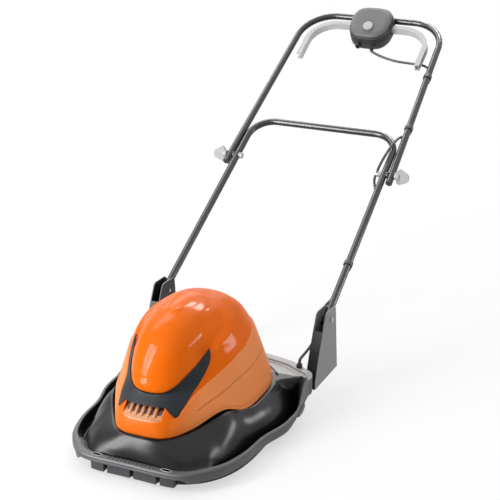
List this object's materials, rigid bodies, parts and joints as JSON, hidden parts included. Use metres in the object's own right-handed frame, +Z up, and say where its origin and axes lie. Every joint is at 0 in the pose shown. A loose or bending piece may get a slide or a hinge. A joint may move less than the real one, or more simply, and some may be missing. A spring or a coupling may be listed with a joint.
{
  "type": "hover mower",
  "caption": "Electric hover mower with an oval black deck, a domed orange hood over a belt-driven blade, and a folding tube handle with switch box and bail levers.",
  "frame": {"origin": "on the ground under the blade spindle, in the plane of the skirt's lower face", "axes": "+Z up, -Y to the front of the mower, +X to its left hand side as seen from the front, which is the right of a person holding the handle"},
  "size_m": [0.5544, 1.5231, 0.7582],
  "materials": {
    "black_plastic": "satin gloss moulded black plastic",
    "orange_plastic": "high gloss moulded orange plastic",
    "grey_plastic": "fine textured dark grey plastic",
    "tube_paint": "graphite powder paint on steel tube",
    "steel": "plain machined or zinc plated steel",
    "pale_plastic": "satin moulded pale grey plastic",
    "rubber": "soft black rubber sheath",
    "carbon": "pressed carbon, dull black",
    "copper": "bare and enamelled copper"
  },
  "bodies": {
    "deck": {"deck": "black_plastic", "air_skirt": "black_plastic", "hood": "orange_plastic", "hood_trim": "grey_plastic", "vent_grille": "orange_plastic", "hood_screws": "steel", "spindle_housing": "steel", "lower_bearing": "steel", "upper_bearing": "steel", "housing_screws": "steel", "motor_plate": "steel", "motor_shell": "tube_paint", "motor_field": "steel", "motor_cap": "grey_plastic", "motor_bearings": "steel", "carbon_brushes": "carbon", "drive_belt": "rubber", "left_bracket": "grey_plastic", "right_bracket": "grey_plastic", "pivot_pins": "steel", "bracket_screws": "steel", "lead_gland": "black_plastic", "motor_lead_deck": "rubber"},
    "spindle": {"spindle": "steel", "driven_pulley": "grey_plastic", "impeller": "black_plastic", "height_spacers": "black_plastic", "blade": "steel", "blade_washer": "steel", "blade_bolt": "steel"},
    "rotor": {"motor_shaft": "steel", "armature": "copper", "commutator": "copper", "driver_pulley": "steel"},
    "lower_handle": {"lower_handle": "tube_paint", "pivot_bushes": "black_plastic", "clamp_bolts": "pale_plastic", "clamp_saddles": "black_plastic", "leg_clip": "black_plastic", "motor_lead_lower": "rubber"},
    "upper_handle": {"upper_handle": "tube_paint", "tube_caps": "black_plastic", "switch_box_top": "grey_plastic", "switch_box_base": "grey_plastic", "switch_unit": "black_plastic", "lever_pins": "steel", "lead_clips": "black_plastic", "lead_outlet": "black_plastic", "mains_inlet": "black_plastic", "motor_lead_upper": "rubber"},
    "left_lever": {"left_lever": "pale_plastic"},
    "right_lever": {"right_lever": "pale_plastic"},
    "lock_button": {"lock_button": "pale_plastic"},
    "left_knob": {"left_knob": "pale_plastic"},
    "right_knob": {"right_knob": "pale_plastic"}
  },
  "joints": [
    {"name": "spindle_spin", "type": "hinge", "parent": "deck", "child": "spindle", "pos_m": [0, 0, 0.09], "axis": [0, 0, 1], "continuous": true},
    {"name": "rotor_spin", "type": "hinge", "parent": "deck", "child": "rotor", "pos_m": [0, 0.095, 0.2], "axis": [0, 0, 1], "continuous": true},
    {"name": "handle_pivot", "type": "hinge", "parent": "deck", "child": "lower_handle", "pos_m": [0, 0.33, 0.192], "axis": [1, 0, 0], "range_deg": [0, 60]},
    {"name": "handle_fold", "type": "hinge", "parent": "lower_handle", "child": "upper_handle", "pos_m": [0, 0.74223, 0.43], "axis": [1, 0, 0], "range_deg": [0, 120]},
    {"name": "left_knob_turn", "type": "hinge", "parent": "upper_handle", "child": "left_knob", "pos_m": [0, 0.74223, 0.43], "axis": [-1, 0, 0], "continuous": true},
    {"name": "right_knob_turn", "type": "hinge", "parent": "upper_handle", "child": "right_knob", "pos_m": [0, 0.74223, 0.43], "axis": [1, 0, 0], "continuous": true},
    {"name": "left_lever_squeeze", "type": "hinge", "parent": "upper_handle", "child": "left_lever", "pos_m": [-0.05, 1.21681, 0.704], "axis": [0, 0.5, -0.866], "range_deg": [0, 6], "stiffness_Nm_per_rad": 4, "springref_deg": -5.73},
    {"name": "right_lever_squeeze", "type": "hinge", "parent": "upper_handle", "child": "right_lever", "pos_m": [0.05, 1.21681, 0.704], "axis": [0, -0.5, 0.866], "range_deg": [0, 6], "stiffness_Nm_per_rad": 4, "springref_deg": -5.73},
    {"name": "lock_press", "type": "slide", "parent": "upper_handle", "child": "lock_button", "axis": [0, 0.6152, -0.7883], "range_m": [0, 0.003], "stiffness_N_per_m": 600, "springref_m": -0.002}
  ],
  "couplings": [
    {"joint": "rotor_spin", "follows": "spindle_spin", "ratio": 5.3913}
  ]
}
